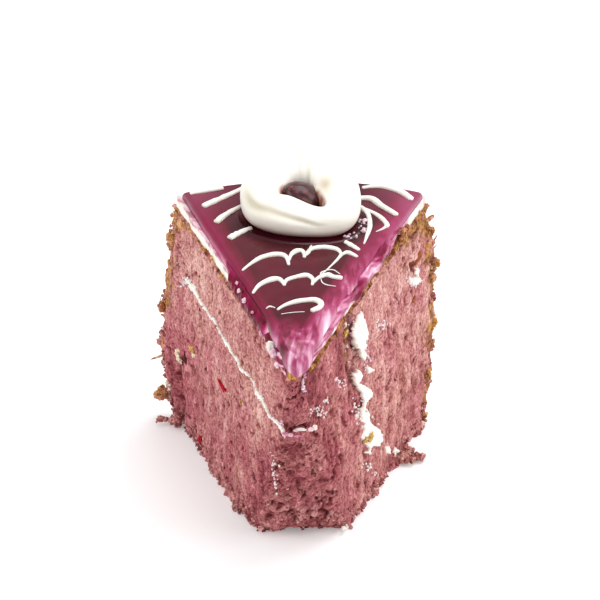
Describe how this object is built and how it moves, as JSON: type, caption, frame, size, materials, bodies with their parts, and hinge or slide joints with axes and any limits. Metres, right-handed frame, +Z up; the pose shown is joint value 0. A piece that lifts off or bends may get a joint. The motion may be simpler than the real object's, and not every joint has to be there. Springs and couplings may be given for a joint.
{
  "type": "cake slice",
  "caption": "Wedge of layered blueberry sponge cake with cream filling, blueberry glaze, feathered icing and a whipped cream ring holding a berry.",
  "frame": {"origin": "on the resting face, on the slice's middle line, halfway from the whole cake's centre to the edge of its topping (50 mm from each)", "axes": "+Z up from the table, +Y from the point of the slice to its baked rim, +X to the right as seen from the point"},
  "size_m": [0.095, 0.1051, 0.0991],
  "materials": {
    "sponge": "soft pink-mauve crumb",
    "cream": "soft satin",
    "glaze": "wet gloss",
    "berry_skin": "glazed"
  },
  "bodies": {
    "root": {"lower_sponge": "sponge", "filling": "cream", "upper_sponge": "sponge", "cream_coat": "cream", "glaze": "glaze", "cream_ring": "cream", "berry": "berry_skin"}
  },
  "joints": []
}
